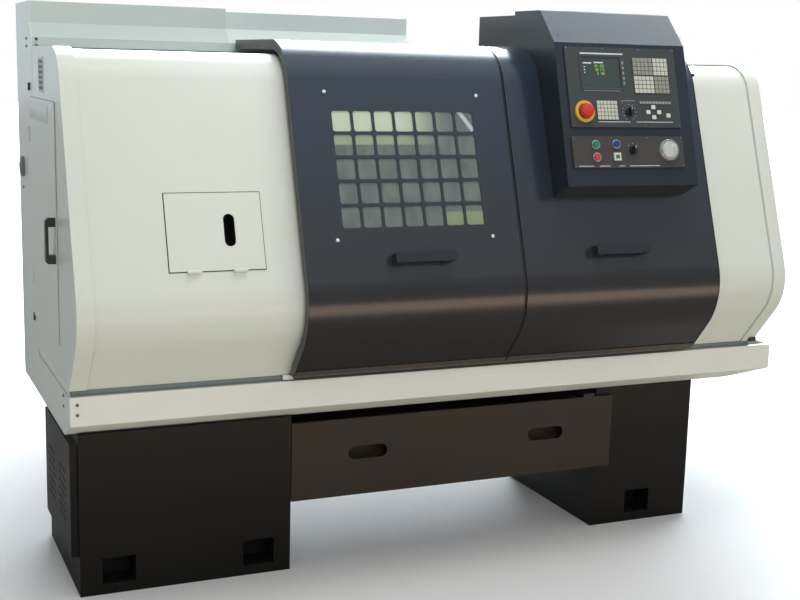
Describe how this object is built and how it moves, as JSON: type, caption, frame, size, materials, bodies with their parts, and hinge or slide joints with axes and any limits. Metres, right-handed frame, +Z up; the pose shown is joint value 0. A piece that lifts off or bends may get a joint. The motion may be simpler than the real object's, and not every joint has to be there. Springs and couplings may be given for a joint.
{
  "type": "turning lathe",
  "caption": "Enclosed flat-bed turning lathe with sliding front doors, a control box, a chip tray and a coolant drawer between its pedestals.",
  "frame": {"origin": "on the floor under the middle of the overall box", "axes": "+Z up, +X from the headstock to the tailstock, +Y from the operator into the machine"},
  "size_m": [2.432, 1.0886, 1.748],
  "materials": {
    "pedestal_black": "semi-gloss black enamel on cast iron",
    "tray_enamel": "satin warm grey enamel on sheet steel",
    "drawer_enamel": "satin dark brown enamel on sheet steel",
    "cast_iron": "machined and painted grey iron",
    "tool_steel": "turned and ground steel",
    "chromed_steel": "polished chrome",
    "belt_rubber": "matte black rubber",
    "motor_enamel": "dark grey machine enamel",
    "white_enamel": "warm white gloss enamel on sheet steel",
    "grey_enamel": "pale grey-green gloss enamel on sheet steel",
    "slate_enamel": "slate blue-grey gloss enamel on sheet steel",
    "window_glass": "clear laminated safety glass",
    "black_plastic": "moulded black nylon",
    "panel_black": "fine textured black overlay",
    "red_plastic": "glossy red moulded plastic",
    "green_plastic": "glossy green moulded plastic",
    "blue_plastic": "glossy blue moulded plastic",
    "white_plastic": "glossy white moulded plastic"
  },
  "bodies": {
    "machine_frame": {"bed": "cast_iron", "chip_tray": "tray_enamel", "drive_belt": "belt_rubber", "electrical_cabinet": "white_enamel", "feed_motor": "motor_enamel", "headstock": "cast_iron", "left_casing": "white_enamel", "left_end_cover": "grey_enamel", "left_pedestal": "pedestal_black", "lower_rail": "tray_enamel", "main_motor": "motor_enamel", "rear_cover_low": "grey_enamel", "rear_cover_tall": "grey_enamel", "right_casing": "white_enamel", "right_end_cover": "white_enamel", "right_pedestal": "pedestal_black", "splash_back": "white_enamel", "top_rail": "grey_enamel", "vent_cover": "pedestal_black"},
    "spindle": {"spindle": "tool_steel", "chuck": "tool_steel", "spindle_pulley": "tool_steel"},
    "jaw_1": {"chuck_jaw_1": "tool_steel"},
    "jaw_2": {"chuck_jaw_2": "tool_steel"},
    "jaw_3": {"chuck_jaw_3": "tool_steel"},
    "motor_rotor": {"motor_pulley": "tool_steel"},
    "screw": {"lead_screw": "tool_steel"},
    "carriage": {"carriage": "cast_iron", "cross_motor": "motor_enamel"},
    "cross_slide": {"cross_slide": "cast_iron", "turret_base": "cast_iron"},
    "turret": {"turret_head": "tool_steel", "cutting_tools": "tool_steel"},
    "tailstock": {"tailstock": "cast_iron"},
    "quill": {"tailstock_quill": "tool_steel"},
    "centre": {"live_centre": "tool_steel"},
    "handwheel": {"tailstock_handwheel": "chromed_steel"},
    "clamp": {"clamp_lever": "chromed_steel"},
    "flap": {"access_flap": "white_enamel"},
    "end_door": {"end_door": "grey_enamel", "end_door_handle": "black_plastic"},
    "cabinet_door": {"cabinet_door": "white_enamel"},
    "left_door": {"left_door": "slate_enamel", "window_glass": "window_glass", "left_door_handle": "black_plastic"},
    "right_door": {"right_door": "slate_enamel", "right_door_handle": "black_plastic", "control_box": "slate_enamel", "upper_panel": "panel_black", "lower_panel": "panel_black", "screen": "window_glass"},
    "emergency_stop": {"emergency_stop": "red_plastic"},
    "green_button": {"green_button": "green_plastic"},
    "red_button": {"red_button": "red_plastic"},
    "blue_button": {"blue_button": "blue_plastic"},
    "lamp_button": {"lamp_button": "white_plastic"},
    "mode_knob": {"mode_knob": "black_plastic"},
    "feed_knob": {"feed_knob": "black_plastic"},
    "hand_dial": {"hand_dial": "white_plastic"},
    "drawer": {"coolant_drawer": "drawer_enamel"}
  },
  "joints": [
    {"name": "spindle_turn", "type": "hinge", "parent": "machine_frame", "child": "spindle", "pos_m": [-0.444, -0.0467, 1.1], "axis": [1, 0, 0], "continuous": true},
    {"name": "jaw_1_grip", "type": "slide", "parent": "spindle", "child": "jaw_1", "axis": [0, 0, 1], "range_m": [-0.012, 0.004]},
    {"name": "jaw_2_grip", "type": "slide", "parent": "spindle", "child": "jaw_2", "axis": [0, -0.866, -0.5], "range_m": [-0.012, 0.004]},
    {"name": "jaw_3_grip", "type": "slide", "parent": "spindle", "child": "jaw_3", "axis": [0, 0.866, -0.5], "range_m": [-0.012, 0.004]},
    {"name": "motor_turn", "type": "hinge", "parent": "machine_frame", "child": "motor_rotor", "pos_m": [-1.106, -0.0467, 0.235], "axis": [1, 0, 0], "continuous": true},
    {"name": "lead_screw_turn", "type": "hinge", "parent": "machine_frame", "child": "screw", "pos_m": [0.116, -0.2597, 0.725], "axis": [-1, 0, 0], "range_deg": [-7201, 10081]},
    {"name": "carriage_travel", "type": "slide", "parent": "machine_frame", "child": "carriage", "axis": [1, 0, 0], "range_m": [-0.2, 0.28]},
    {"name": "cross_slide_travel", "type": "slide", "parent": "carriage", "child": "cross_slide", "axis": [0, 1, 0], "range_m": [-0.08, 0.02]},
    {"name": "turret_index", "type": "hinge", "parent": "cross_slide", "child": "turret", "pos_m": [-0.034, -0.1867, 1.05], "axis": [0, 0, 1], "continuous": true},
    {"name": "tailstock_travel", "type": "slide", "parent": "machine_frame", "child": "tailstock", "axis": [1, 0, 0], "range_m": [-0.3, 0.05]},
    {"name": "handwheel_turn", "type": "hinge", "parent": "tailstock", "child": "handwheel", "pos_m": [0.921, -0.0467, 1.1], "axis": [-1, 0, 0], "range_deg": [0, 7201]},
    {"name": "quill_travel", "type": "slide", "parent": "tailstock", "child": "quill", "axis": [-1, 0, 0], "range_m": [0, 0.1]},
    {"name": "centre_turn", "type": "hinge", "parent": "quill", "child": "centre", "pos_m": [0.566, -0.0467, 1.1], "axis": [1, 0, 0], "continuous": true},
    {"name": "clamp_turn", "type": "hinge", "parent": "tailstock", "child": "clamp", "pos_m": [0.656, -0.0917, 1.16], "axis": [0, 0, 1], "range_deg": [0, 60]},
    {"name": "flap_hinge", "type": "hinge", "parent": "machine_frame", "child": "flap", "pos_m": [-0.792, -0.47101, 0.97263], "axis": [1, 0, 0], "range_deg": [0, 100]},
    {"name": "end_door_hinge", "type": "hinge", "parent": "machine_frame", "child": "end_door", "pos_m": [-1.189, 0.2613, 1.08], "axis": [0, 0, -1], "range_deg": [0, 115]},
    {"name": "cabinet_door_hinge", "type": "hinge", "parent": "machine_frame", "child": "cabinet_door", "pos_m": [0.718, 0.5343, 1.15], "axis": [0, 0, 1], "range_deg": [0, 110]},
    {"name": "left_door_slide", "type": "slide", "parent": "machine_frame", "child": "left_door", "axis": [1, 0, 0], "range_m": [-0.575, 0]},
    {"name": "right_door_slide", "type": "slide", "parent": "machine_frame", "child": "right_door", "axis": [1, 0, 0], "range_m": [0, 0.24]},
    {"name": "emergency_push", "type": "slide", "parent": "right_door", "child": "emergency_stop", "axis": [0, 0.9589, -0.2836], "range_m": [0, 0.003]},
    {"name": "mode_knob_turn", "type": "hinge", "parent": "right_door", "child": "mode_knob", "pos_m": [0.505, -0.51159, 1.30263], "axis": [0, -0.9589, 0.2836], "range_deg": [-45, 45]},
    {"name": "feed_knob_turn", "type": "hinge", "parent": "right_door", "child": "feed_knob", "pos_m": [0.506, -0.47755, 1.41771], "axis": [0, -0.9589, 0.2836], "range_deg": [-150, 150]},
    {"name": "hand_dial_turn", "type": "hinge", "parent": "right_door", "child": "hand_dial", "pos_m": [0.634, -0.51159, 1.30263], "axis": [0, -0.9589, 0.2836], "continuous": true},
    {"name": "drawer_slide", "type": "slide", "parent": "machine_frame", "child": "drawer", "axis": [0, -1, 0], "range_m": [0, 0.42]},
    {"name": "green_button_push", "type": "slide", "parent": "right_door", "child": "green_button", "axis": [0, 0.9589, -0.2836], "range_m": [0, 0.0025], "stiffness_N_per_m": 800},
    {"name": "red_button_push", "type": "slide", "parent": "right_door", "child": "red_button", "axis": [0, 0.9589, -0.2836], "range_m": [0, 0.0025], "stiffness_N_per_m": 800},
    {"name": "blue_button_push", "type": "slide", "parent": "right_door", "child": "blue_button", "axis": [0, 0.9589, -0.2836], "range_m": [0, 0.0025], "stiffness_N_per_m": 800},
    {"name": "lamp_button_push", "type": "slide", "parent": "right_door", "child": "lamp_button", "axis": [0, 0.9589, -0.2836], "range_m": [0, 0.0025], "stiffness_N_per_m": 800}
  ],
  "couplings": [
    {"joint": "motor_turn", "follows": "spindle_turn", "ratio": 1.75},
    {"joint": "jaw_2_grip", "follows": "jaw_1_grip", "ratio": 1},
    {"joint": "jaw_3_grip", "follows": "jaw_1_grip", "ratio": 1},
    {"joint": "lead_screw_turn", "follows": "carriage_travel", "rad_per_m": 628.32},
    {"joint": "handwheel_turn", "follows": "quill_travel", "rad_per_m": 1256.6}
  ]
}
